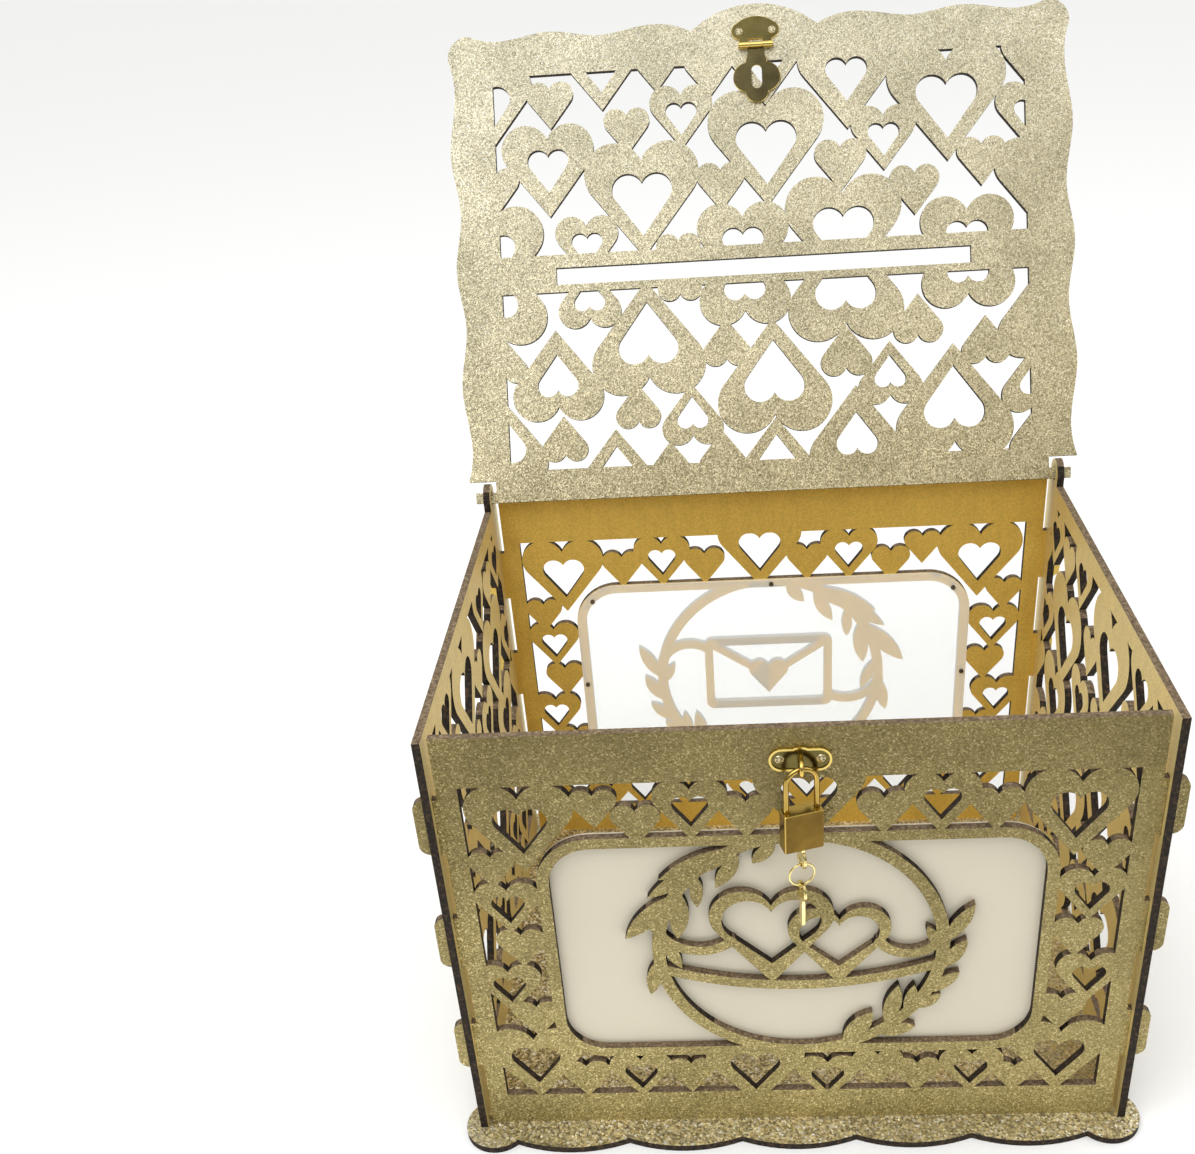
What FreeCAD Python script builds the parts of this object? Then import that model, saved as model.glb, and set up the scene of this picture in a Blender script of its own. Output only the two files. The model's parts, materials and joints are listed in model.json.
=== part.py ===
import FreeCAD, Part
import math
import os

# Wedding card box: pierced 3 mm boards on a scalloped base, a lid on stub axles,
# a small hasp and staple, and a padlock with its keys.
# Frame: +X right, +Y to the back, +Z up, origin at the centre of the base's underside.
# The lid is modelled open, leaning back on its stop.  Lengths are in millimetres.

V = FreeCAD.Vector

# ---- driving dimensions -------------------------------------------------------------
board = 3.0
box_width = 260.0
box_depth = 202.0
wall_height = 191.0
face_setback = 2.5
side_gap = 1.9
floor = board
half_width = box_width / 2
half_depth = box_depth / 2
side_inner = half_width - board
panel_half = side_inner - side_gap
front_face = -half_depth + face_setback
back_face = -front_face
wall_top = floor + wall_height

tab_length = 24.0
tab_reach = 4.5
tab_round = 4.0
tab_bottoms = (32.5, 86.5, 141.0)
slot_play = 0.2
foot_tab = 30.0
foot_places = (-60.0, 60.0)
side_foot_places = (-45.0, 45.0)

band_half = 117.5
band_bottom = 16.0
band_top = 170.0
window_half = 89.5
window_bottom = 41.5
window_top = 141.5
window_round = 16.0
window_bar = 4.5
ring_centre = (1.5, 92.0)
ring_outer = 55.3
ring_inner = 50.5

lean = 27.0
hinge_gap = 3.1
hinge_y = back_face - board - hinge_gap
hinge_z = wall_top + 4.0
ear_radius = 6.5
ear_hole = 3.0
stub_half = 2.4
stub_reach = half_width + 4.0
back_extra = 6.2
lid_half = 137.0
tongue_half = 124.5
lid_shoulder = 7.4
lid_mirror = 99.2
lid_band = (107.5, 186.7)
slot_half = 92.5
slot_low = 94.2
slot_high = 101.7

base_reach_x = 136.4
base_reach_y = 112.0
cusp_depth = 4.3
corner_round = 14.0

sheet = 1.0
pin_head = 1.1
pin_shank = 0.5
pin_depth = 2.0
pin_head_height = 0.8
pin_places = ((-85.5, 138), (0, 143.75), (85.5, 138), (-91.75, 91.5),
              (91.75, 91.5), (-85.5, 45), (0, 39.25), (85.5, 45))

plate = 0.8
rim_height = 0.5
edge_ease = 0.2
screw_head = 1.7
screw_dome = 0.8
screw_shank = 0.9
screw_depth = 2.4
hasp_x = 0.6
hasp_axis_u = 193.2
barrel_radius = 1.5
pin_radius = 0.6
knuckle_half = 2.7
barrel_half = 7.2
knuckle_gap = 0.25
leaf_lift = 0.3
hasp_screw_u = 199.7
hasp_screw_places = (hasp_x - 7.2, hasp_x + 7.2)

staple_x = 2.0
staple_z = 181.4
staple_wire = 0.8
staple_half = 2.6
staple_reach = 9.5
staple_screw_places = (staple_x - 7.2, staple_x + 7.2)

lock_yaw = 17.0
lock_y = -104.6
lock_width = 14.5
lock_depth = 6.2
lock_height = 16.0
shackle_wire = 1.0
leg_offset = 5.6
bow_z = staple_z - staple_half + staple_wire + shackle_wire + 0.3
lock_top = bow_z + shackle_wire - 17.6
lock_bottom = lock_top - lock_height
leg_play = 0.2
short_leg = 7.0
long_leg = 12.2
release_travel = 7.2
plug_radius = 2.6
plug_play = 0.1
cam_radius = 1.9
cam_height = 0.7
crank = 1.1
crank_pin = 0.45
bolt_half = 2.0
bolt_height = 0.8
bolt_top = lock_top - 1.3
bolt_tip = 5.0
blade_width = 3.0
blade_thick = 1.2
blade_length = 11.0
key_head = 4.0
key_head_length = 9.0
key_hole = 1.5
key_hole_rim = 2.2
ring_wire = 0.4
ring_radius = 4.7


# ---- flat shapes --------------------------------------------------------------------
def arc(a, b, c):
    """Arc edge through three points given as (x, y)."""
    return Part.Arc(V(*a, 0), V(*b, 0), V(*c, 0)).toShape()


def line(a, b):
    """Straight edge between two points given as (x, y)."""
    return Part.LineSegment(V(*a, 0), V(*b, 0)).toShape()


def face(edges):
    """Flat face inside a closed run of edges."""
    return Part.Face(Part.Wire(edges))


def polygon(points):
    """Flat face inside a closed polygon."""
    corners = [V(*p, 0) for p in points]
    return Part.Face(Part.makePolygon(corners + corners[:1]))


def box_face(x0, y0, x1, y1):
    """Flat rectangle."""
    return polygon([(x0, y0), (x1, y0), (x1, y1), (x0, y1)])


def disc(x, y, radius):
    """Flat disc."""
    return Part.Face(Part.Wire(Part.makeCircle(radius, V(x, y, 0))))


def round_box(x0, y0, x1, y1, radius):
    """Flat rectangle with rounded corners."""
    cross = box_face(x0 + radius, y0, x1 - radius, y1)
    parts = [box_face(x0, y0 + radius, x1, y1 - radius)]
    for x in (x0 + radius, x1 - radius):
        for y in (y0 + radius, y1 - radius):
            parts.append(disc(x, y, radius))
    return joined([cross] + parts)


def joined(faces):
    """One flat shape from many that overlap."""
    return faces[0].multiFuse(faces[1:]) if len(faces) > 1 else faces[0]


def heart(x, top, width, height=None):
    """Heart with two round lobes and straight sides down to its tip."""
    height = width * 0.98 if height is None else height
    lobe = 0.262 * width
    reach = width / 2 - lobe
    notch = (x, top - lobe + math.sqrt(lobe ** 2 - reach ** 2))
    tip = (x, top - height)
    fall = math.atan2(tip[1] - (top - lobe), -reach)
    turn = math.acos(lobe / math.hypot(reach, height - lobe))
    edges = []
    for side in (1, -1):
        centre = (x + side * reach, top - lobe)
        out = (centre[0] + side * lobe * math.cos(fall + turn), centre[1] + lobe * math.sin(fall + turn))
        crown = (centre[0] + side * lobe * math.sqrt(0.5), centre[1] + lobe * math.sqrt(0.5))
        run = [arc(notch, crown, out), line(out, tip)]
        edges += run if side == 1 else run[::-1]
    return face(Part.__sortEdges__(edges))


def lattice(area, hearts):
    """Openings left in an area by hearts, each (x, top, width, hole width)."""
    solid = joined([heart(x, top, width) for x, top, width, hole in hearts])
    holes = [heart(x, top - 0.265 * width, hole, hole * 1.02) for x, top, width, hole in hearts if hole]
    return area.cut(solid.cut(holes))


def heart_outline(x, top, width, stroke):
    """Heart drawn as an even stroke."""
    inner = heart(x, top - stroke, width - 2 * stroke, width * 0.98 - 3.1 * stroke)
    return heart(x, top, width).cut(inner)


def stroke_arc(a, b, c, stroke):
    """Round-ended stroke along the arc through three points."""
    centre = arc(a, b, c).Curve.Center

    def shifted(point, amount):
        away = V(*point, 0) - centre
        moved = centre + away * ((away.Length + amount) / away.Length)
        return (moved.x, moved.y)

    outer = [shifted(p, stroke / 2) for p in (a, b, c)]
    inner = [shifted(p, -stroke / 2) for p in (c, b, a)]
    band = face([arc(*outer), line(outer[2], inner[0]), arc(*inner), line(inner[2], outer[0])])
    return joined([band, disc(*a, stroke / 2), disc(*c, stroke / 2)])


def stroke_line(a, b, stroke):
    """Round-ended straight stroke."""
    along = V(b[0] - a[0], b[1] - a[1], 0).normalize()
    side = V(-along.y, along.x, 0) * (stroke / 2)
    corners = [(a[0] + side.x, a[1] + side.y), (b[0] + side.x, b[1] + side.y),
               (b[0] - side.x, b[1] - side.y), (a[0] - side.x, a[1] - side.y)]
    return joined([polygon(corners), disc(*a, stroke / 2), disc(*b, stroke / 2)])


def leaf(base, tip, width):
    """Pointed leaf between two points."""
    middle = ((base[0] + tip[0]) / 2, (base[1] + tip[1]) / 2)
    along = V(tip[0] - base[0], tip[1] - base[1], 0).normalize()
    side = (-along.y * width / 2, along.x * width / 2)
    one = (middle[0] + side[0], middle[1] + side[1])
    two = (middle[0] - side[0], middle[1] - side[1])
    return face([arc(base, one, tip), arc(tip, two, base)])


def slab(flat, thickness, lift=0.0):
    """Solid board from a flat shape."""
    pieces = [piece.extrude(V(0, 0, thickness)) for piece in flat.Faces]
    solid = joined(pieces).removeSplitter()
    solid.translate(V(0, 0, lift))
    return solid


def eased(solid, level):
    """Chamfer the edges that lie at one height of a flat piece."""
    rims = [e for e in solid.Edges
            if e.BoundBox.ZMin > level - 1e-6 and e.BoundBox.ZMax < level + 1e-6]
    return solid.makeChamfer(edge_ease, rims)


def placed(shape, origin, x_axis, y_axis):
    """Move a shape from its own flat frame to where those axes put it."""
    x = V(*x_axis)
    y = V(*y_axis)
    z = x.cross(y)
    o = V(*origin)
    matrix = FreeCAD.Matrix(x.x, y.x, z.x, o.x, x.y, y.y, z.y, o.y, x.z, y.z, z.z, o.z, 0, 0, 0, 1)
    copy = shape.copy()
    copy.Placement = FreeCAD.Placement(matrix).multiply(copy.Placement)
    return copy


def one_solid(shape):
    """The shape's single solid."""
    solids = shape.Solids
    if len(solids) != 1:
        sizes = sorted(round(s.Volume, 2) for s in solids)
        raise RuntimeError("expected one solid, found " + str(sizes))
    return solids[0]


def save(name, shape):
    """Write one sub-part."""
    shape.exportStep("parts/" + name + ".step")


# ---- base ---------------------------------------------------------------------------
def base_plate():
    """Scalloped board with slots for the walls' feet."""
    corner_x = base_reach_x - corner_round
    corner_y = base_reach_y - corner_round
    cusp_x = 114.0
    cusp_y = 89.5
    long_run = [cusp_x * (2 * i / 5 - 1) for i in range(6)]
    short_run = [cusp_y * (2 * i / 4 - 1) for i in range(5)]
    edges = []
    for side in (-1, 1):
        low = side * (base_reach_y - cusp_depth)
        for a, b in zip(long_run, long_run[1:]):
            edges.append(arc((a, low), ((a + b) / 2, side * base_reach_y), (b, low)))
        low = side * (base_reach_x - cusp_depth)
        for a, b in zip(short_run, short_run[1:]):
            edges.append(arc((low, a), (side * base_reach_x, (a + b) / 2), (low, b)))
    for sx in (-1, 1):
        for sy in (-1, 1):
            start = (sx * cusp_x, sy * (base_reach_y - cusp_depth))
            end = (sx * (base_reach_x - cusp_depth), sy * cusp_y)
            bulge = corner_round * math.sqrt(0.5)
            edges.append(arc(start, (sx * (corner_x + bulge), sy * (corner_y + bulge)), end))
    flat = face(Part.__sortEdges__(edges))
    cuts = []
    for y in (front_face + board / 2, back_face - board / 2):
        cuts += [box_face(x - foot_tab / 2, y - board / 2, x + foot_tab / 2, y + board / 2)
                 for x in foot_places]
    for x in (-half_width + board / 2, half_width - board / 2):
        cuts += [box_face(x - board / 2, y - foot_tab / 2, x + board / 2, y + foot_tab / 2)
                 for y in side_foot_places]
    return one_solid(slab(flat.cut(cuts), board))


# ---- front and back panels, seen from outside, heights above the floor ---------------
panel_hearts = [
    (98, 170.5, 38.5, 19.5), (70, 163.4, 19, 0), (51, 170.5, 26.5, 13), (31, 163.4, 19, 0),
    (5, 180.5, 39, 19.5), (-17, 163.4, 19, 0), (-36.5, 170.5, 26.5, 13), (-56, 160.5, 18, 0),
    (-70.5, 167.5, 17, 0), (-97, 170.5, 39, 19.5), (-109.5, 141.5, 17, 0),
    (-105.5, 127, 24.5, 12.5), (-102.5, 104.5, 19, 0), (-109.5, 87, 25, 12.5), (-100.5, 67.5, 19, 0),
    (-103.5, 53, 39, 19.5), (109.5, 139.5, 17.5, 0), (106, 126.5, 24.5, 12.5), (102.5, 103.5, 19, 0),
    (109, 86, 25, 12.5), (100, 66, 19, 0), (101.5, 51.5, 38.5, 19.5), (-84, 34.5, 20, 0),
    (-62, 38.5, 25, 13), (-42, 35, 19.5, 0), (-16.5, 47, 39, 19.5), (12, 35, 25, 13),
    (31.5, 38.2, 20, 0), (47, 33, 19, 0), (68, 38, 25, 13), (85, 30, 17, 0)]

# Leaves on the ring: base, tip and width.
ring_leaves = [
    ((-7, 142), (-15.5, 133), 5.5), ((-18, 140), (-49.5, 126.5), 8.5), ((-20, 137), (-29, 122), 6),
    ((-31, 134), (-54, 118), 6.5), ((-36, 128), (-36, 113), 5), ((-44, 119), (-63.5, 98.5), 8),
    ((-41.5, 119), (-44, 98), 7), ((-51.5, 88), (-55.5, 70), 6), ((-50, 99), (-43, 83), 5),
    ((55, 93), (65, 111), 6), ((54, 90), (48, 101), 4.5), ((54.5, 80), (63, 94), 6),
    ((50, 68), (61, 78), 5.5), ((46, 60), (54.5, 67), 5), ((34.5, 51), (38.5, 72), 6.5),
    ((42, 56), (44.5, 72), 5), ((18, 42), (29, 58), 8), ((31, 47), (45.5, 50.5), 6.5)]


def wreath():
    """Ring with leaves that stands in the window."""
    cx, cz = ring_centre
    band = disc(cx, cz, ring_outer).cut(disc(cx, cz, ring_inner))
    return joined([band] + [leaf(*one) for one in ring_leaves])


def twin_hearts():
    """Front motif: two linked hearts on a flowing line."""
    return joined([
        heart_outline(-9, 120, 46, 4.6), heart_outline(16, 111, 38, 4.2),
        stroke_arc((-51, 83), (3.5, 73.4), (54, 83), 4.4),
        stroke_arc((-52, 104), (-39, 92), (-24, 96), 4.2),
        stroke_arc((31, 94), (43, 88), (54, 96), 4.2)])


def letter_envelope():
    """Back motif: an envelope with a heart seal on a flowing line."""
    left, right, low, high = (-29, 33, 74, 114)
    frame = round_box(left, low, right, high, 4).cut(round_box(left + 4, low + 4, right - 4, high - 4, 1.5))
    middle = (left + right) / 2
    flap = [stroke_line((corner, high - 3), (middle, 92), 3.6) for corner in (left + 3, right - 3)]
    lines = [stroke_arc((left + 2, 80), (-41, 78), (-52, 88), 4.4),
             stroke_arc((right - 2, 108), (44, 111), (54, 102), 4.4)]
    return joined([frame, heart(middle, 101, 19)] + flap + lines)


def wall_panel(height, motif):
    """Front or back board in its own flat frame."""
    outline = box_face(-panel_half, 0, panel_half, height)
    tabs = []
    for low in tab_bottoms:
        for side in (-1, 1):
            outer = side * (half_width + tab_reach)
            inner = side * (panel_half - 2 * tab_round)
            tabs.append(round_box(min(outer, inner), low, max(outer, inner), low + tab_length, tab_round))
    feet = [box_face(x - foot_tab / 2, -board, x + foot_tab / 2, 1) for x in foot_places]
    window = round_box(-window_half, window_bottom, window_half, window_top, window_round)
    surround = round_box(-window_half - window_bar, window_bottom - window_bar, window_half + window_bar,
                         window_top + window_bar, window_round + window_bar)
    band = box_face(-band_half, band_bottom, band_half, band_top).cut(surround)
    openings = [lattice(band, panel_hearts), window.cut(joined([wreath(), motif]))]
    holes = [Part.makeCylinder(pin_shank, pin_depth, V(x, z, 0)) for x, z in pin_places]
    flat = joined([outline] + tabs + feet)
    for opening in openings:
        flat = flat.cut(opening)
    return one_solid(slab(flat, board).cut(holes))


def front_panel():
    """Front board: its own z runs from the inner face out to the front."""
    body = wall_panel(wall_height, twin_hearts())
    level = staple_z - floor
    screws = [Part.makeCylinder(screw_shank, screw_depth, V(x, level, board), V(0, 0, -1))
              for x in staple_screw_places]
    legs = [Part.makeCylinder(staple_wire, board, V(staple_x, level + side * staple_half, 0))
            for side in (-1, 1)]
    body = body.cut(screws + legs)
    return placed(body, (0, front_face + board, floor), (1, 0, 0), (0, 0, 1))


def back_panel():
    """Back board: the same pattern facing backwards."""
    body = wall_panel(wall_height + back_extra, letter_envelope())
    return placed(body, (0, back_face - board, floor), (-1, 0, 0), (0, 0, 1))


# ---- side panels, seen from outside with the front at -y ----------------------------
side_hearts = [
    (-84, 198, 36, 17), (-58, 189, 30, 16), (-17, 184.5, 51.5, 27), (30, 187, 28, 13.5), (54, 179, 21, 0),
    (78, 183.5, 28, 13.5), (94, 167, 22, 0), (48, 160.5, 51.5, 27), (9, 160, 21, 0), (-50, 161, 21, 0),
    (-74, 163, 40, 18.5), (-40, 143, 28, 13.5), (16, 136, 29, 13.5), (-12, 138, 21, 0), (84, 142, 30, 14),
    (-68, 125, 28, 13.5), (56, 117, 41, 19), (18, 110, 22, 0), (-22, 119, 41, 18.5), (-88, 141, 22, 0),
    (-47, 115, 22, 0), (88, 113, 22, 0), (16, 98, 51.5, 27), (-54, 96, 21, 0), (-78, 99, 28, 13.5),
    (-94, 84, 22, 0), (-48, 77.5, 51.5, 27), (-12, 76, 21, 0), (50, 78, 21, 0), (76, 85, 38, 17.5),
    (40, 58, 28, 13.5), (-14, 53, 29, 13.5), (12, 52, 21, 0), (-84, 59, 30, 14), (66, 47, 32, 15),
    (-56, 34, 41, 19), (-22, 28, 23, 0), (22, 36, 41, 18.5), (90, 51, 22, 0), (47, 31, 22, 0),
    (-88, 31, 22, 0)]
side_band_half = 88.0
side_band_top = 182.5


def side_panel():
    """Side board with its ear, in a frame of depth and height."""
    outline = box_face(-half_depth, 0, half_depth, wall_height)
    ear = disc(hinge_y, hinge_z - floor, ear_radius)
    root = box_face(hinge_y - ear_radius, wall_height - 4, hinge_y + ear_radius, hinge_z - floor)
    feet = [box_face(y - foot_tab / 2, -board, y + foot_tab / 2, 1) for y in side_foot_places]
    band = box_face(-side_band_half, band_bottom, side_band_half, side_band_top)
    cuts = [disc(hinge_y, hinge_z - floor, ear_hole)]
    for y in (front_face + board / 2, back_face - board / 2):
        for low in tab_bottoms:
            cuts.append(round_box(y - board / 2 - slot_play / 2, low - 0.6, y + board / 2 + slot_play / 2,
                                  low + tab_length + 0.6, 0.5))
    flat = joined([outline, root, ear] + feet).cut(lattice(band, side_hearts))
    return one_solid(slab(flat.cut(cuts), board))


# ---- lid, in a frame of x and of distance u from the hinge axis ----------------------
lid_hearts = [
    (-121, 194, 42, 22), (-92, 183.5, 21, 0), (-68.5, 207, 38, 19), (-44, 193, 17, 0),
    (-33.5, 178.5, 28, 14), (-20.5, 194, 22, 0), (-58, 170, 20.5, 0), (-94, 165, 41.5, 18.5),
    (-52.3, 155, 51.5, 27),
    (-121, 130, 47, 21), (-118, 147, 21, 0), (-78, 124, 28.5, 14), (-37, 114, 20, 0), (-17, 144, 21.5, 0),
    (-8, 126, 41, 18.5), (3.8, 174.5, 51.5, 27), (4, 205, 38, 19), (40, 197.5, 43, 18.5),
    (83.5, 190, 52, 27), (124.5, 196, 34, 0), (119.5, 171, 30, 14), (36.3, 151, 23, 0),
    (55.5, 164.5, 28.5, 14), (98, 148.5, 21.5, 0),
    (124.5, 147, 42, 0), (68.5, 138, 22, 0), (36.8, 135.3, 51.5, 27), (91, 123.5, 41, 18.5)]

# Right half of the wavy edge: up the side, round the corner and along the front.
lid_side_wave = [(lid_half, lid_shoulder), (134.6, 24), (137.8, 50.5), (134.6, 77), (137.8, 102),
                 (134.6, 127), (137.8, 152.5), (134.8, 178), (lid_half, 195.5)]
lid_corner = (134.4, 202.6)
lid_front_wave = [(127.5, 205.3), (112, 202.4), (91, 205.3), (69.5, 202.4), (48.5, 205.3), (27.8, 201.3)]
lid_bump = 211.5


def wave(points):
    """Smooth edge through a few points."""
    curve = Part.BSplineCurve()
    curve.interpolate([V(*p, 0) for p in points])
    return curve.toShape()


def lid_outline():
    """Wavy board with a tongue and two stub axles."""
    edges = []
    for side in (1, -1):
        def flip(points):
            return [(side * x, u) for x, u in points]
        edges.append(wave(flip(lid_side_wave)))
        edges.append(arc(*flip([lid_side_wave[-1], lid_corner, lid_front_wave[0]])))
        edges.append(wave(flip(lid_front_wave)))
        steps = flip([(lid_half, lid_shoulder), (tongue_half, lid_shoulder), (tongue_half, stub_half),
                      (stub_reach, stub_half), (stub_reach, -stub_half), (0, -stub_half)])
        edges += [line(a, b) for a, b in zip(steps, steps[1:])]
    cusp_x, cusp_u = lid_front_wave[-1]
    edges.append(arc((-cusp_x, cusp_u), (0, lid_bump), (cusp_x, cusp_u)))
    return face(Part.__sortEdges__(edges))


def lid_flat():
    """Lid board: the lattice is mirrored about the card slot."""
    upper = lattice(box_face(-band_half, lid_band[0], band_half, lid_band[1]), lid_hearts)
    lower = upper.mirror(V(0, lid_mirror, 0), V(0, 1, 0))
    slot = box_face(-slot_half, slot_low, slot_half, slot_high)
    return lid_outline().cut(upper).cut(lower).cut(slot)


def lid():
    """Lid solid in its own frame: z = 0 on the underside, axis at u = 0."""
    screws = [Part.makeCylinder(screw_shank, screw_depth, V(x, hasp_screw_u, -screw_depth))
              for x in hasp_screw_places]
    return one_solid(slab(lid_flat(), board, -board).cut(screws))


def on_lid(shape):
    """Place a shape from the lid's frame in the open pose."""
    tilt = math.radians(lean)
    along = V(0, math.sin(tilt), math.cos(tilt))
    underside = V(0, hinge_y, hinge_z) + V(1, 0, 0).cross(along) * (board / 2)
    return placed(shape, tuple(underside), (1, 0, 0), tuple(along))


# ---- hasp, in the lid's frame: z = 0 on the underside, z > 0 on the hasp's side -------
def hasp_rod(radius, half):
    """Rod along the hasp's own hinge axis."""
    return Part.makeCylinder(radius, 2 * half, V(hasp_x - half, hasp_axis_u, barrel_radius), V(1, 0, 0))


def hasp_plate():
    """Screwed plate with the two outer knuckles."""
    u = hasp_screw_u
    x = hasp_x
    outline = face([
        line((x - 6.9, u - 3.6), (x + 6.9, u - 3.6)),
        arc((x + 6.9, u - 3.6), (x + 10.5, u), (x + 8.2, u + 3.4)),
        arc((x + 8.2, u + 3.4), (x, u + 6.2), (x - 8.2, u + 3.4)),
        arc((x - 8.2, u + 3.4), (x - 10.5, u), (x - 6.9, u - 3.6))])
    straps = []
    tubes = []
    for side in (-1, 1):
        near = x + side * (knuckle_half + knuckle_gap)
        far = x + side * barrel_half
        straps.append(box_face(min(near, far), hasp_axis_u, max(near, far), u - 2))
        tubes.append(Part.makeCylinder(barrel_radius, barrel_half - knuckle_half - knuckle_gap,
                                       V(min(near, far), hasp_axis_u, barrel_radius), V(1, 0, 0)))
    bore = hasp_rod(pin_radius, barrel_half)
    holes = [Part.makeCylinder(screw_shank, 4, V(place, u, -2)) for place in hasp_screw_places]
    body = eased(slab(joined([outline] + straps), plate), plate)
    return one_solid(body.fuse(tubes).cut(holes + [bore]).removeSplitter())


def hasp_leaf():
    """Lobed leaf with its slot and middle knuckle, lying on the lid's underside."""
    x = hasp_x
    u = hasp_axis_u
    lobes = [(x, u - 7.0, 4.7), (x, u - 19.5, 5.1), (x - 4.0, u - 13.6, 6.4), (x + 4.0, u - 13.6, 6.4)]
    lobes = [eased(slab(disc(*lobe), plate, leaf_lift), leaf_lift + plate) for lobe in lobes]
    lobes.append(slab(box_face(x - 3.8, u - 7, x + 3.8, u - 1.5), plate, leaf_lift))
    slot = round_box(x - 2.3, u - 18.5, x + 2.3, u - 8.5, 2.25)
    neck = box_face(x - knuckle_half, u - 3, x + knuckle_half, u)
    body = joined(lobes).cut(slab(slot, 2 * plate, leaf_lift - 0.1))
    body = body.cut(hasp_rod(barrel_radius + 0.3, barrel_half))
    body = body.fuse([slab(neck, plate, leaf_lift), hasp_rod(barrel_radius - 0.1, knuckle_half)])
    return one_solid(body.cut(hasp_rod(pin_radius + 0.1, barrel_half)).removeSplitter())


def hasp_pin():
    """Hinge pin with two small heads."""
    half = barrel_half
    heads = hasp_rod(1.1, half + 0.4).cut(hasp_rod(2, half))
    return one_solid(hasp_rod(pin_radius, half).fuse(heads.Solids).removeSplitter())


def dome_screw(at, out):
    """Small screw: shank below the plate and a domed head with a cross recess on it."""
    shank = Part.makeCylinder(screw_shank, screw_depth + plate, at - out * screw_depth, out)
    top = at + out * plate
    curve = (screw_head ** 2 + screw_dome ** 2) / (2 * screw_dome)
    ball = Part.makeSphere(curve, top + out * (screw_dome - curve))
    head = Part.makeCylinder(screw_head, screw_dome, top, out).common(ball)
    seat = FreeCAD.Placement(top + out * (screw_dome - 0.65), FreeCAD.Rotation(V(0, 0, 1), out))
    recess = []
    for wide, deep in ((0.65, 2.1), (2.1, 0.65)):
        slot = Part.makeBox(wide, deep, 1, V(-wide / 2, -deep / 2, 0))
        slot.Placement = seat.multiply(slot.Placement)
        recess.append(slot)
    return shank.fuse(head).cut(recess).removeSplitter()


def hasp_screws():
    """Two screws through the hasp plate into the lid."""
    return Part.makeCompound([dome_screw(V(x, hasp_screw_u, 0), V(0, 0, 1)) for x in hasp_screw_places])


# ---- window sheets and their pins ----------------------------------------------------
def window_sheet():
    """Frosted sheet with pin holes, lying behind the window's bar."""
    edge = window_bar - 0.2
    flat = round_box(-window_half - edge, window_bottom - edge, window_half + edge, window_top + edge,
                     window_round + edge)
    holes = [Part.makeCylinder(pin_shank, sheet, V(x, z, -sheet)) for x, z in pin_places]
    return one_solid(slab(flat, sheet, -sheet).cut(holes))


def window_pins():
    """Eight headed pins through the sheet into the board."""
    pins = []
    for x, z in pin_places:
        shank = Part.makeCylinder(pin_shank, sheet + pin_depth, V(x, z, -sheet))
        head = Part.makeCylinder(pin_head, pin_head_height, V(x, z, -sheet - pin_head_height))
        pins.append(shank.fuse(head).removeSplitter())
    return Part.makeCompound(pins)


# ---- staple on the front panel -------------------------------------------------------
def staple_plate():
    """Oval plate with holes for the eye and two screws."""
    x = staple_x
    z = staple_z
    outline = joined([round_box(x - 10.8, z - 4.6, x + 10.8, z + 4.6, 4.55), disc(x, z, 5.3)])
    dish = joined([round_box(x - 10.0, z - 3.8, x + 10.0, z + 3.8, 3.75), disc(x, z, 4.5)])
    body = slab(outline, plate + rim_height).cut(slab(dish, plate, plate))
    holes = [Part.makeCylinder(screw_shank, plate, V(place, z, 0)) for place in staple_screw_places]
    holes += [Part.makeCylinder(staple_wire, plate, V(x, z + side * staple_half, 0)) for side in (-1, 1)]
    return placed(one_solid(body.cut(holes)), (0, front_face, 0), (1, 0, 0), (0, 0, 1))


def staple_loop():
    """Bent wire eye, upright, with its legs through the board."""
    bend_y = front_face - staple_reach + staple_half + staple_wire
    low = V(staple_x, front_face + board, staple_z - staple_half)
    legs = [Part.makeCylinder(staple_wire, low.y - bend_y, low + V(0, 0, rise), V(0, -1, 0))
            for rise in (0, 2 * staple_half)]
    bend = Part.makeTorus(staple_half, staple_wire, V(staple_x, bend_y, staple_z), V(1, 0, 0))
    keep = Part.makeBox(4, 8, 12, V(staple_x - 2, bend_y - 8, staple_z - 6))
    return one_solid(bend.common(keep).fuse(legs).removeSplitter())


def staple_screws():
    """Two screws through the staple plate."""
    return Part.makeCompound([dome_screw(V(x, front_face, staple_z), V(0, -1, 0))
                              for x in staple_screw_places])


# ---- padlock, upright about the line x = 0, y = 0, then turned into place -------------
def at_staple(shape):
    """Move a shape from the padlock's own line to the staple."""
    turn = FreeCAD.Placement(V(staple_x, lock_y, 0), FreeCAD.Rotation(V(0, 0, 1), lock_yaw))
    copy = shape.copy()
    copy.Placement = turn.multiply(copy.Placement)
    return copy


def upright(radius, low, high, x=0.0, y=0.0):
    """Vertical cylinder."""
    return Part.makeCylinder(radius, high - low, V(x, y, low))


def crosswise(radius, x, z, half):
    """Cylinder across the padlock's depth."""
    return Part.makeCylinder(radius, 2 * half, V(x, -half, z), V(0, 1, 0))


bolt_low = bolt_top - bolt_height
cam_top = bolt_low - 0.1
plug_top = cam_top - cam_height
stop_z = lock_top - 3.1
stop_x = -leg_offset + shackle_wire + 0.1
groove_low = stop_z - release_travel - 0.7
retainer_z = lock_bottom + 2.1
retainer_x = plug_radius + 0.15


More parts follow.
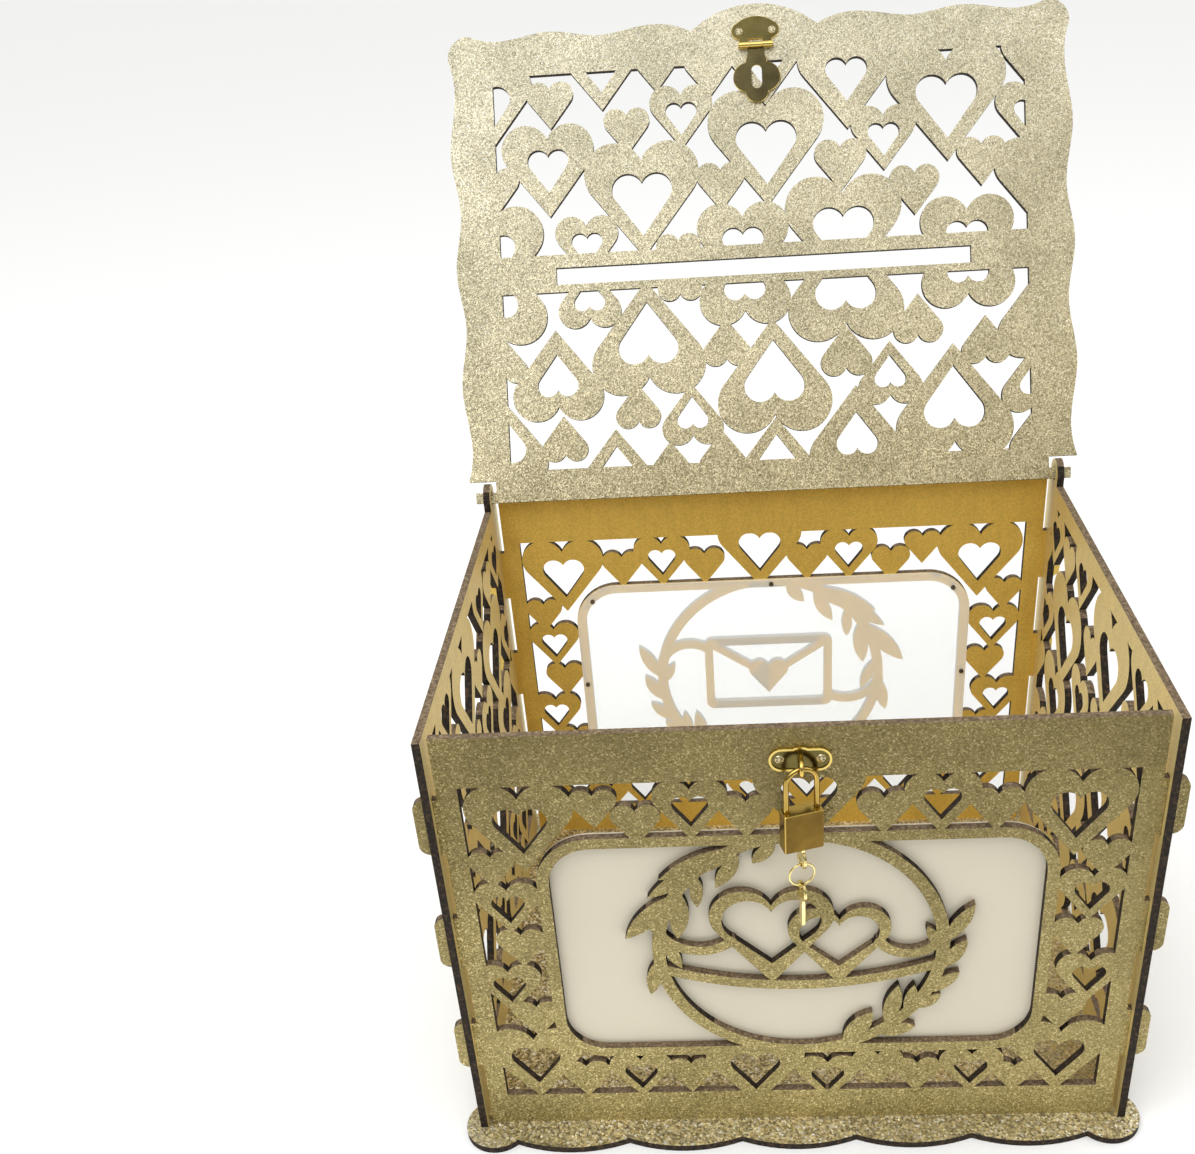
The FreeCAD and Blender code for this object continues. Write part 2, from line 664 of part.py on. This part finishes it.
def padlock_body():
    """Brass block with bores for the shackle, plug, bolt and pins."""
    corner = V(-lock_width / 2, -lock_depth / 2, lock_bottom)
    block = Part.makeBox(lock_width, lock_depth, lock_height, corner)
    outer = [e for e in block.Edges if abs(e.BoundBox.ZLength - lock_height) < 1e-6]
    block = block.makeFillet(0.8, outer)
    rims = [e for e in block.Edges if e.BoundBox.ZLength < 1e-6]
    block = block.makeChamfer(0.3, rims)
    leg_bore = shackle_wire + leg_play
    bolt_room = Part.makeBox(leg_offset + 2.1, 2 * bolt_half + 0.2, bolt_height + 0.2,
                             V(-2.1, -bolt_half - 0.1, bolt_low - 0.1))
    cuts = [upright(leg_bore, lock_bottom + 1.4, lock_top + 1, -leg_offset),
            upright(leg_bore, lock_top - short_leg - 0.4, lock_top + 1, leg_offset),
            upright(plug_radius + plug_play, lock_bottom - 1, plug_top + 0.05),
            upright(cam_radius + 0.1, plug_top, bolt_low),
            bolt_room,
            crosswise(0.6, stop_x, stop_z, lock_depth / 2 - 0.4),
            crosswise(0.5, retainer_x, retainer_z, lock_depth / 2 - 0.4)]
    return one_solid(block.cut(cuts))


def shackle():
    """Bent bar: a long leg that stays in the body and a short notched leg."""
    arch_z = bow_z - leg_offset
    bow = Part.makeTorus(leg_offset, shackle_wire, V(0, 0, arch_z), V(0, 1, 0))
    bow = bow.common(Part.makeBox(20, 8, 20, V(-10, -4, arch_z)))
    legs = [upright(shackle_wire, lock_top - long_leg, arch_z, -leg_offset),
            upright(shackle_wire, lock_top - short_leg, arch_z, leg_offset)]
    notch_low = bolt_low - 3.0
    notch = Part.makeBox(1.2, 4, bolt_top + 0.2 - notch_low, V(bolt_tip + 0.15 - 1.2, -2, notch_low))
    groove_high = stop_z + 0.9
    groove = Part.makeBox(1.2, 6, groove_high - groove_low, V(stop_x - 0.7, -3, groove_low))
    return one_solid(bow.fuse(legs).cut([notch, groove]).removeSplitter())


def shackle_stop_pin():
    """Cross pin in the groove of the long leg."""
    return crosswise(0.5, stop_x, stop_z, lock_depth / 2 - 0.4)


def shackle_spring():
    """Small coil spring under the long leg."""
    low = lock_bottom + 1.4 + 0.2
    high = lock_top - long_leg - 0.2
    turns = 4
    pitch = (high - low) / turns
    coil = Part.makeHelix(pitch, high - low, 0.85)
    section = Part.Wire(Part.makeCircle(0.17, V(0.85, 0, 0), V(0, 1, 0)))
    body = Part.Wire(coil).makePipeShell([section], True, False)
    body.translate(V(-leg_offset, 0, low))
    return body


def wafer_levels():
    """Heights of the three wafers."""
    return [lock_bottom + 4.2 + 1.9 * i for i in range(3)]


def lock_plug():
    """Turning plug with keyway, wafer slots and a groove for its pin."""
    body = upright(plug_radius, lock_bottom - 0.1, plug_top)
    groove = upright(plug_radius + 1, retainer_z - 0.65, retainer_z + 0.65)
    groove = groove.cut(upright(plug_radius - 0.5, retainer_z - 1, retainer_z + 1))
    keyway = Part.makeBox(blade_thick + 0.2, blade_width + 0.2, blade_length + 0.4,
                          V(-blade_thick / 2 - 0.1, -blade_width / 2 - 0.1, lock_bottom - 0.2))
    rooms = [Part.makeBox(2.7, 4.1, 0.7, V(-1.35, -2.05, z - 0.05)) for z in wafer_levels()]
    return one_solid(body.cut([groove, keyway] + rooms))


def wafers():
    """Three framed wafers that the key lifts."""
    plates = []
    wide = blade_thick + 0.3
    deep = blade_width + 0.2
    for z in wafer_levels():
        rim = Part.makeBox(2.6, 4.0, 0.6, V(-1.3, -2.0, z))
        plates.append(rim.cut(Part.makeBox(wide, deep, 1, V(-wide / 2, -deep / 2, z - 0.2))))
    return Part.makeCompound(plates)


def locking_cam():
    """Disc on the plug with an eccentric pin that draws the bolt."""
    plate_part = upright(cam_radius, plug_top, cam_top)
    pin = upright(crank_pin, cam_top - 0.1, bolt_top, crank)
    return one_solid(plate_part.fuse(pin).removeSplitter())


def lock_bolt():
    """Flat bolt whose tongue holds the short leg's notch."""
    flat = joined([box_face(-0.9, -bolt_half, 3.4, bolt_half), box_face(3, -0.9, bolt_tip, 0.9)])
    yoke = box_face(crank - crank_pin - 0.1, -0.6, crank + crank_pin + 0.33, 1.7)
    return one_solid(slab(flat.cut(yoke), bolt_height, bolt_low))


def plug_retaining_pin():
    """Cross pin in the plug's groove."""
    return crosswise(0.45, retainer_x, retainer_z, lock_depth / 2 - 0.4)


def key_shape():
    """Key in a frame with its blade up +y and its shoulder at y = 0."""
    half_thick = blade_thick / 2
    hole = disc(0, -key_head_length + key_hole_rim, key_hole)
    head = joined([disc(0, -key_head_length + key_head, key_head), box_face(-1.9, -3, 1.9, 0)])
    head = slab(head.cut(hole), blade_thick, -half_thick)
    head = eased(eased(head, half_thick), -half_thick)
    bits = [disc(blade_width / 2 + 0.2, blade_length - 2.2 - 2.3 * i, 0.7) for i in range(4)]
    half = blade_width / 2
    blade = polygon([(-half, -0.5), (half, -0.5), (half, blade_length - 1), (0, blade_length),
                     (-half, blade_length - 1)])
    blade = slab(blade.cut(bits), blade_thick, -half_thick)
    return one_solid(head.fuse(blade).removeSplitter())


key_shoulder = lock_bottom - 0.3
ring_top = key_shoulder - key_head_length + key_hole_rim - key_hole + ring_wire + 0.1
ring_low = ring_top - 2 * ring_radius


def key():
    """Key in the lock, flat across the padlock's width."""
    return placed(key_shape(), (0, 0, key_shoulder), (0, 1, 0), (0, 0, 1))


def key_ring():
    """Wire ring through the key's hole."""
    centre = V(0, 0, ring_top - ring_radius)
    return Part.makeTorus(ring_radius, ring_wire, centre, V(0, 1, 0))


def spare_key():
    """Second key hanging from the ring, blade down."""
    hole_z = ring_low - key_hole + ring_wire + 0.1
    return placed(key_shape(), (0, 0, hole_z - key_head_length + key_hole_rim), (0, 1, 0), (0, 0, -1))


# ---- build --------------------------------------------------------------------------
def on_front(shape):
    """From a sheet frame to the inner face of the front panel."""
    return placed(shape, (0, front_face + board, floor), (1, 0, 0), (0, 0, 1))


def on_back(shape):
    """From a sheet frame to the inner face of the back panel."""
    return placed(shape, (0, back_face - board, floor), (-1, 0, 0), (0, 0, 1))


def main():
    os.makedirs("parts", exist_ok=True)
    wall = side_panel()
    save("base_plate", base_plate())
    save("front_panel", front_panel())
    save("back_panel", back_panel())
    save("right_side_panel", placed(wall, (side_inner, 0, floor), (0, 1, 0), (0, 0, 1)))
    save("left_side_panel", placed(wall, (-half_width, 0, floor), (0, 1, 0), (0, 0, 1)))
    save("front_window_sheet", on_front(window_sheet()))
    save("back_window_sheet", on_back(window_sheet()))
    save("front_window_pins", on_front(window_pins()))
    save("back_window_pins", on_back(window_pins()))
    save("lid", on_lid(lid()))
    save("hasp_plate", on_lid(hasp_plate()))
    save("hasp_leaf", on_lid(hasp_leaf()))
    save("hasp_pin", on_lid(hasp_pin()))
    save("hasp_screws", on_lid(hasp_screws()))
    save("staple_plate", staple_plate())
    save("staple_loop", staple_loop())
    save("staple_screws", staple_screws())
    lock_parts = (padlock_body, shackle, shackle_stop_pin, shackle_spring, lock_plug, wafers, locking_cam,
                  lock_bolt, plug_retaining_pin, key, key_ring, spare_key)
    for make in lock_parts:
        save(make.__name__, at_staple(make()))


main()
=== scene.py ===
import json
import math

import bpy
from mathutils import Matrix, Vector


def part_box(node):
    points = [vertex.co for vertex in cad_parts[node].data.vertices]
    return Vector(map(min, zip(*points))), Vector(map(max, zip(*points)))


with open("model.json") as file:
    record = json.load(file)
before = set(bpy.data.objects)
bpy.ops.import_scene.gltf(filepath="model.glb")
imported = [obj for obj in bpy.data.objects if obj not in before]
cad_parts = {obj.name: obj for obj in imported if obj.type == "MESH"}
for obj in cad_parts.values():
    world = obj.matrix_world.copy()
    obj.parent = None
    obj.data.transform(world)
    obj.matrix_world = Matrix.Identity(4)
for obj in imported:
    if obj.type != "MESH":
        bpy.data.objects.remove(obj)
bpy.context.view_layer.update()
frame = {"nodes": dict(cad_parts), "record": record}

# Wedding card box: glittered, laser-cut boards with frosted windows and brass hardware.
# Lengths are in metres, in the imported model's frame, and colours are linear.

nodes = frame["nodes"]
record = frame["record"]
scene = bpy.context.scene

# ---- the way each face looks ----------------------------------------------------------
UP = (0, 0, 1)
FRONT = (0, -1, 0)
WALL_FACES = {"front_panel": FRONT, "back_panel": (0, 1, 0),
              "right_side_panel": (1, 0, 0), "left_side_panel": (-1, 0, 0)}
LID_LEAN = math.radians(27)
LID_FACE = (0, -math.cos(LID_LEAN), math.sin(LID_LEAN))
LID_UPWARD = (-0.25, 0, 1)

# ---- sizes of the surface patterns ----------------------------------------------------
COARSE_FLAKE = 0.00052
FINE_FLAKE = 0.0003
MATTE_GRAIN = 0.0007
BRUSHED_LINE = 0.00025
STAIN_PATCH = 0.006
# PLATE_TOP and FLAT_FACE set where the painted highlight falls on the brass.
PLATE_TOP = 0.0011
FLAT_FACE = 0.93

# ---- colours of the boards ------------------------------------------------------------
# One glitter card covers all boards. The darker wall tone and the paler lid tone are partly painted
# shade and painted light, for how light falls on the upright walls and the leaning lid. The base tone
# is raised partly as painted light inside the box.
WALL_GLITTER = (0.255, 0.204, 0.074)
# The sparkle colours are painted glints, taken by the brightest flakes.
WALL_SPARKLE = (0.56, 0.47, 0.24)
# Painted light: the walls' glitter is lighter towards the foot and darker towards the top.
WALL_PAINTED_LIGHT = ((1.48, 1.5, 1.55), (0.8, 0.79, 0.76))
LID_GLITTER = (0.52, 0.465, 0.305)
LID_SPARKLE = (0.93, 0.87, 0.66)
# Painted light: the lid's glitter is paler and cooler towards its top, deeper gold towards the hinge.
LID_PAINTED_LIGHT = ((0.94, 0.9, 0.8), (1.07, 1.1, 1.2))
BASE_GLITTER = (0.50, 0.405, 0.19)
BASE_SPARKLE = (1.0, 0.97, 0.78)
BASE_UNDERSIDE = (0.32, 0.2, 0.11)
GOLD_PAINT = (0.84, 0.585, 0.135)
PALE_GOLD_PAINT = (0.80, 0.64, 0.27)

# ---- camera ---------------------------------------------------------------------------
EYE = Vector((-0.020, -0.483, 0.452))
LOOK = Vector((-0.063, 0.855, -0.515))
CAMERA_UP = Vector((0.037, 0.518, 0.855))
FOCAL_LENGTH = 41.3
SHIFT = (-0.040, 0.074)


# ---- shader helpers -------------------------------------------------------------------
class Shader:
    """A material with one Principled shader, and short calls for its nodes."""

    def __init__(self, name):
        self.material = bpy.data.materials.new(name)
        self.material.use_nodes = True
        self.tree = self.material.node_tree
        self.principled = self.tree.nodes["Principled BSDF"]
        place = self.add("TexCoord")
        self.position = place.outputs["Object"]
        self.normal = place.outputs["Normal"]

    def add(self, kind, inputs=None, **settings):
        node = self.tree.nodes.new("ShaderNode" + kind)
        for key, value in settings.items():
            setattr(node, key, value)
        for key, value in (inputs or {}).items():
            self.feed(node.inputs[key], value)
        return node

    def feed(self, socket, value):
        if isinstance(value, bpy.types.NodeSocket):
            self.tree.links.new(value, socket)
        else:
            socket.default_value = value

    def surface(self, **values):
        for key, value in values.items():
            self.feed(self.principled.inputs[key.replace("_", " ")], value)

    def math(self, operation, a, b=0.0):
        return self.add("Math", {0: a, 1: b}, operation=operation).outputs[0]

    def vector(self, operation, a, b=(0, 0, 0)):
        return self.add("VectorMath", {0: a, 1: b}, operation=operation).outputs[0]

    def along(self, a, b):
        return self.add("VectorMath", {0: a, 1: b}, operation="DOT_PRODUCT").outputs["Value"]

    def scaled(self, vector, factor):
        node = self.add("VectorMath", {0: vector}, operation="SCALE")
        self.feed(node.inputs["Scale"], factor)
        return node.outputs[0]

    def mix(self, factor, a, b, blend="MIX"):
        node = self.add("Mix", data_type="RGBA", blend_type=blend)
        for index, value in ((0, factor), (6, a), (7, b)):
            self.feed(node.inputs[index], value)
        return node.outputs[2]

    def blend(self, factor, a, b):
        return self.add("Mix", {0: factor, 2: a, 3: b}, data_type="FLOAT").outputs[0]

    def ramp(self, factor, stops):
        node = self.add("ValToRGB", {"Fac": factor})
        band = node.color_ramp
        while len(band.elements) < len(stops):
            band.elements.new(0.5)
        for element, (at, colour) in zip(band.elements, stops):
            element.position = at
            element.color = (*colour, 1)
        return node.outputs["Color"]

    def noise(self, size, detail=2.0, stretch=(1, 1, 1)):
        place = self.vector("MULTIPLY", self.position, stretch)
        node = self.add("TexNoise", {"Vector": place, "Scale": 1 / size, "Detail": detail})
        return node.outputs["Fac"]

    def cells(self, size):
        node = self.add("TexVoronoi", {"Vector": self.position, "Scale": 1 / size})
        return node.outputs["Color"]

    def fade(self, direction, start, end, near, far):
        """Painted light: colour that changes evenly between two places along a direction."""
        place = self.along(self.position, direction)
        span = self.add("MapRange", {"Value": place, "From Min": start, "From Max": end})
        return self.mix(span.outputs["Result"], (*near, 1), (*far, 1))

    def bump(self, height, depth, strength):
        node = self.add("Bump", {"Height": height, "Distance": depth, "Strength": strength})
        return node.outputs["Normal"]


def tint(colour, factor):
    return tuple(min(1.0, c * factor) for c in colour)


# ---- boards ---------------------------------------------------------------------------
def glitter_coat(m, coarse, fine_tone, glitter, sparkle, contrast):
    """Flakes of many tones over finer dust, in faint patches; the brightest flakes take the sparkle
    colour, a painted glint.
    """
    tone = m.add("SeparateColor", {"Color": coarse}).outputs["Red"]
    # The top stops are the sparkle colour: painted glints for light caught by the flakes.
    flakes = m.ramp(tone, [
        (0.0, tint(glitter, 0.45 - contrast)), (0.2, tint(glitter, 0.72 - contrast)),
        (0.5, tint(glitter, 0.97)), (0.82, tint(glitter, 1.25 + contrast)),
        (0.93, sparkle), (1.0, tint(sparkle, 1.3))])
    dust = m.ramp(fine_tone.outputs["Green"], [
        (0.0, tint(glitter, 0.6)), (0.55, glitter), (0.92, tint(sparkle, 0.9))])
    patches = m.ramp(m.noise(0.03, 4), [(0.3, (0.82, 0.81, 0.77)), (0.7, (1.12, 1.11, 1.1))])
    return m.mix(1.0, m.mix(0.4, flakes, dust), patches, "MULTIPLY")


def paint_coat(m, paint):
    """Paint with faint rolled streaks under a fine matte grain."""
    streaks = m.ramp(m.noise(0.006, 4, (1, 1, 0.2)), [
        (0.3, tint(paint, 0.94)), (0.55, paint), (0.75, tint(paint, 1.04))])
    matte = m.ramp(m.noise(MATTE_GRAIN, 3), [(0.3, (0.84, 0.83, 0.8)), (0.7, (1.1, 1.1, 1.1))])
    return m.mix(1.0, streaks, matte, "MULTIPLY")


def burnt_edge(m):
    """Dark char over brown board; edges that look up are painted paler, a painted light from above.
    """
    char = m.ramp(m.noise(0.0016, 5), [
        (0.3, (0.006, 0.0045, 0.003)), (0.52, (0.022, 0.014, 0.008)), (0.72, (0.08, 0.048, 0.022))])
    painted_light_on_top = m.ramp(m.noise(0.0012, 5), [
        (0.35, (0.10, 0.066, 0.036)), (0.55, (0.22, 0.155, 0.09)), (0.75, (0.40, 0.30, 0.18))])
    height = m.add("SeparateXYZ", {"Vector": m.normal}).outputs["Z"]
    looks_up = m.math("GREATER_THAN", height, 0.75)
    # Painted light: edges that look up take the paler colour.
    return m.mix(m.math("MULTIPLY", looks_up, 0.8), char, painted_light_on_top)


def flake_normal(m, coarse, fine, outer, sway):
    """Normal that tilts from flake to flake on the glittered face, over a fine grain."""
    middle = (0.5, 0.5, 0.5)
    fine_tilt = m.scaled(m.vector("SUBTRACT", fine, middle), 0.6)
    tilt = m.vector("ADD", m.vector("SUBTRACT", coarse, middle), fine_tilt)
    tilt = m.scaled(tilt, m.math("MULTIPLY", outer, sway))
    grain = m.bump(m.noise(0.0009, 4), 0.0002, 0.35)
    return m.vector("NORMALIZE", m.vector("ADD", grain, tilt))


def board_material(name, outward, glitter, sparkle, paint, fade=None, both_faces=False,
                   gloss=0.55, sway=0.6, flake=1.0, contrast=0.0):
    """Glitter on the outer face, smooth paint inside and a burnt edge all round; an optional gradient
    over the glitter is painted light.
    """
    m = Shader(name)
    facing = m.along(m.normal, outward)
    outer = m.math("GREATER_THAN", m.math("ABSOLUTE", facing) if both_faces else facing, 0.5)
    inner = m.math("LESS_THAN", facing, -0.5)
    coarse = m.cells(COARSE_FLAKE * flake)
    fine = m.cells(FINE_FLAKE * flake)
    fine_tone = m.add("SeparateColor", {"Color": fine})

    flakes = glitter_coat(m, coarse, fine_tone, glitter, sparkle, contrast)
    # Painted light: a gradient multiplies the glitter colour.
    if fade:
        flakes = m.mix(1.0, flakes, m.fade(*fade), "MULTIPLY")
    colour = m.mix(inner, burnt_edge(m), paint_coat(m, paint))
    colour = m.mix(outer, colour, flakes)
    flake_roughness = m.blend(fine_tone.outputs["Red"], 0.28, 0.6)
    roughness = m.blend(outer, m.blend(inner, 0.8, 0.42), flake_roughness)
    metallic = m.blend(outer, m.blend(inner, 0.0, 0.5), gloss)
    m.surface(Base_Color=colour, Roughness=roughness, Metallic=metallic)
    m.surface(Normal=flake_normal(m, coarse, fine, outer, sway), Specular_IOR_Level=0.3)
    return m.material


def board_finishes():
    """Walls, lid and base."""
    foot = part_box("base_plate")[0][2]
    wall_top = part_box("front_panel")[1][2]
    lid_low, lid_high = (corner[2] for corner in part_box("lid"))
    # Painted light: walls lighter towards the foot, lid paler and cooler towards its top.
    wall_painted_light = (UP, foot, wall_top, *WALL_PAINTED_LIGHT)
    # Painted light on the lid, along its lean.
    lid_painted_light = (LID_UPWARD, lid_low, lid_high, *LID_PAINTED_LIGHT)
    finishes = {}
    for name, outward in WALL_FACES.items():
        paint = PALE_GOLD_PAINT if "side" in name else GOLD_PAINT
        finishes[name] = board_material("board_" + name, outward, WALL_GLITTER, WALL_SPARKLE,
                                        paint, wall_painted_light)
    finishes["lid"] = board_material("board_lid", LID_FACE, LID_GLITTER, LID_SPARKLE,
                                     GOLD_PAINT, lid_painted_light, both_faces=True)
    finishes["base_plate"] = board_material("board_base", UP, BASE_GLITTER, BASE_SPARKLE,
                                            BASE_UNDERSIDE, gloss=0.5, sway=1.0, flake=1.6,
                                            contrast=0.35)
    return finishes


# ---- windows --------------------------------------------------------------------------
def sheet_material(name, colour, alpha, painted_glow):
    """Frosted sheet; shapes close behind it show through, and its emission is a painted glow standing
    in for light from behind it.
    """
    m = Shader(name)
    cloud = m.ramp(m.noise(0.05, 3), [(0.3, tint(colour, 0.96)), (0.7, tint(colour, 1.02))])
    m.surface(Base_Color=cloud, Roughness=0.5, Alpha=alpha, IOR=1.49)
    # Painted light: the emission makes the sheet glow though it is no lamp.
    m.surface(Emission_Color=(0.90, 0.965, 1.0, 1), Emission_Strength=painted_glow)
    m.surface(Normal=m.bump(m.noise(MATTE_GRAIN, 3), 0.0001, 0.25))
    m.material.surface_render_method = "DITHERED"
    return m.material


def window_finishes():
    """Nearly opaque front sheet, clearer back sheet painted whiter and glowing as painted light from
    behind, and dark pins on both.
    """
    pins = metal_material("pin_steel", (0.20, 0.17, 0.14), 0.4)
    return {"front_window_sheet": sheet_material("frosted_front", (0.70, 0.64, 0.50), 0.9, 0.0),
            # Painted light: the back sheet's whiter tone and glow stand in for light from behind it.
            "back_window_sheet": sheet_material("frosted_back", (0.91, 0.95, 0.985), 0.34, 0.36),
            "front_window_pins": pins, "back_window_pins": pins}


# ---- metals ---------------------------------------------------------------------------
def metal_material(name, colour, roughness, wear=0.1, brushed=(1, 1, 1), dirt=0.3, painted_highlight=None):
    """Metal with brushed lines and slightly darker patches.

    The last argument is (face, level, bright): what turns away from the flat face, or stands
    above the level along it, takes the bright colour, a painted highlight.
    """
    m = Shader(name)
    lines = m.noise(BRUSHED_LINE, 3, brushed)
    patch = m.noise(STAIN_PATCH, 3)
    stain = m.ramp(patch, [(0.3, tint(colour, 1 - dirt)), (0.6, colour), (0.8, tint(colour, 1.15))])
    if painted_highlight:
        # Painted highlight: edges turned from the face and parts above the level take the bright
        # colour.
        face, level, bright = painted_highlight
        turn = m.math("ABSOLUTE", m.along(m.normal, face))
        edge = m.math("LESS_THAN", turn, FLAT_FACE)
        raised = m.math("GREATER_THAN", m.along(m.position, face), level)
        stain = m.mix(m.math("MAXIMUM", edge, raised), stain, (*bright, 1))
    rough = m.blend(lines, roughness * 0.75, roughness * 1.25)
    rough = m.blend(m.math("MULTIPLY", patch, wear), rough, 0.5)
    m.surface(Base_Color=stain, Metallic=1.0, Roughness=rough)
    m.surface(Normal=m.bump(lines, 0.00003, 0.25))
    return m.material


def plate_material(name, face, colour):
    """Antique brass plate with edges and knuckles painted bright, a painted highlight."""
    foot = min(corner.co.dot(Vector(face)) for corner in nodes[name].data.vertices)
    return metal_material("antique_" + name, colour, 0.16, brushed=(1, 1, 0.2), dirt=0.25,
                          painted_highlight=(face, foot + PLATE_TOP, (0.74, 0.56, 0.17)))


def hasp_finishes():
    """Hasp on the lid and staple on the front."""
    bright = metal_material("bright_brass", (0.70, 0.48, 0.12), 0.10, brushed=(1, 1, 0.3), dirt=0.2)
    screw = metal_material("screw_brass", (0.62, 0.54, 0.33), 0.2, wear=0.2)
    return {"hasp_plate": plate_material("hasp_plate", LID_FACE, (0.125, 0.102, 0.036)),
            "hasp_leaf": plate_material("hasp_leaf", LID_FACE, (0.10, 0.082, 0.036)),
            "staple_plate": plate_material("staple_plate", FRONT, (0.15, 0.12, 0.04)),
            "hasp_pin": bright, "staple_loop": bright,
            "hasp_screws": screw, "staple_screws": screw}


def padlock_face():
    """Direction that the padlock's broad face looks in, square to the axis it swings about."""
    swing = next(j for j in record["behaviour"]["joints"] if j["name"] == "padlock_swing")
    x, y, _ = swing["axis"]
    return (-y, x, 0)


def lock_finishes():
    """Padlock with darker brushed faces and sides painted bright as a painted highlight, its inner
    parts, shackle and keys.
    """
    lined = (6, 6, 0.3)
    above_all = 1.0
    # Painted highlight: the padlock's sides, top and bevelled edges take the bright colour.
    block = metal_material("padlock_faces", (0.165, 0.10, 0.021), 0.17, brushed=lined, dirt=0.25,
                           painted_highlight=(padlock_face(), above_all, (0.42, 0.29, 0.07)))
    bar = metal_material("shackle_brass", (0.50, 0.34, 0.085), 0.09, brushed=(1, 1, 0.3), dirt=0.25)
    finishes = {"padlock_body": block, "shackle": bar,
                "shackle_spring": metal_material("spring_steel", (0.5, 0.5, 0.5), 0.3)}
    inner = metal_material("padlock_brass", (0.27, 0.17, 0.04), 0.16, brushed=lined, dirt=0.25)
    for name in ("lock_plug", "wafers", "locking_cam", "lock_bolt", "plug_retaining_pin",
                 "shackle_stop_pin"):
        finishes[name] = inner
    pale = metal_material("key_brass", (0.85, 0.70, 0.30), 0.15, brushed=(1, 1, 0.4), dirt=0.25)
    for name in ("key", "key_ring", "spare_key"):
        finishes[name] = pale
    return finishes


def paint_nodes():
    """Give every CAD node its finish."""
    finishes = {**board_finishes(), **window_finishes(), **hasp_finishes(), **lock_finishes()}
    for name, material in finishes.items():
        mesh = nodes[name].data
        mesh.materials.clear()
        mesh.materials.append(material)


# ---- studio ---------------------------------------------------------------------------
def floor():
    """Wide pale floor."""
    half = 14.0
    mesh = bpy.data.meshes.new("floor")
    corners = [(-half, -half, 0), (half, -half, 0), (half, half, 0), (-half, half, 0)]
    mesh.from_pydata(corners, [], [(0, 1, 2, 3)])
    plane = bpy.data.objects.new("floor", mesh)
    scene.collection.objects.link(plane)
    m = Shader("floor")
    m.surface(Base_Color=(0.93, 0.93, 0.92, 1), Roughness=0.9)
    mesh.materials.append(m.material)


def sky():
    """Soft sky, dimmer low behind the camera, with one even pale tone as the background."""
    world = bpy.data.worlds.new("studio")
    scene.world = world
    world.use_nodes = True
    tree = world.node_tree
    background = tree.nodes["Background"]
    coords = tree.nodes.new("ShaderNodeTexCoord")
    lift = tree.nodes.new("ShaderNodeVectorMath")
    lift.operation = "DOT_PRODUCT"
    lift.inputs[1].default_value = (0.0, 0.5, 1.4)
    ramp = tree.nodes.new("ShaderNodeValToRGB")
    dim, full = ramp.color_ramp.elements
    dim.position = 0.0
    dim.color = (0.22, 0.22, 0.22, 1)
    full.position = 1.0
    full.color = (1, 1, 1, 1)
    eye_ray = tree.nodes.new("ShaderNodeLightPath")
    pick = tree.nodes.new("ShaderNodeMix")
    pick.data_type = "RGBA"
    pick.inputs[7].default_value = (0.79, 0.79, 0.785, 1)
    background.inputs["Strength"].default_value = 1.12
    tree.links.new(coords.outputs["Generated"], lift.inputs[0])
    tree.links.new(lift.outputs["Value"], ramp.inputs["Fac"])
    tree.links.new(eye_ray.outputs["Is Camera Ray"], pick.inputs[0])
    tree.links.new(ramp.outputs["Color"], pick.inputs[6])
    tree.links.new(pick.outputs[2], background.inputs["Color"])


def area_light(name, place, size, power, target, colour=(1, 1, 1)):
    light = bpy.data.lights.new(name, "AREA")
    light.energy = power
    light.shape = "RECTANGLE"
    light.size, light.size_y = size
    light.color = colour
    lamp = bpy.data.objects.new(name, light)
    lamp.location = place
    aim = Vector(target) - Vector(place)
    lamp.rotation_euler = aim.to_track_quat("-Z", "Y").to_euler()
    lamp.visible_camera = False
    scene.collection.objects.link(lamp)


def lamps():
    """Two broad lamps, a cool one near the lid's left, and a low card before the front."""
    centre = (0, 0, 0.15)
    area_light("key", (-0.5, -0.75, 1.9), (1.3, 1.3), 14, centre)
    area_light("fill", (1.5, -0.2, 1.1), (1.2, 1.2), 5, centre)
    area_light("lid", (-0.35, -0.25, 0.62), (0.35, 0.35), 0.6, (-0.12, 0.19, 0.38), (0.93, 0.98, 1.0))
    area_light("card", (0.0, -0.21, 0.006), (0.34, 0.05), 0.08, (0, -0.1, 0.06))


def camera():
    """Camera in front of the box, looking down into it."""
    forward = LOOK.normalized()
    up = (CAMERA_UP - CAMERA_UP.dot(forward) * forward).normalized()
    right = forward.cross(up)
    lens = bpy.data.cameras.new("camera")
    lens.lens = FOCAL_LENGTH
    lens.shift_x, lens.shift_y = SHIFT
    lens.clip_start = 0.01
    lens.clip_end = 60
    body = bpy.data.objects.new("camera", lens)
    turn = Matrix((right, up, -forward)).transposed()
    body.matrix_world = Matrix.Translation(EYE) @ turn.to_4x4()
    scene.collection.objects.link(body)
    scene.camera = body


paint_nodes()
floor()
sky()
lamps()
camera()
scene.view_settings.view_transform = "Standard"
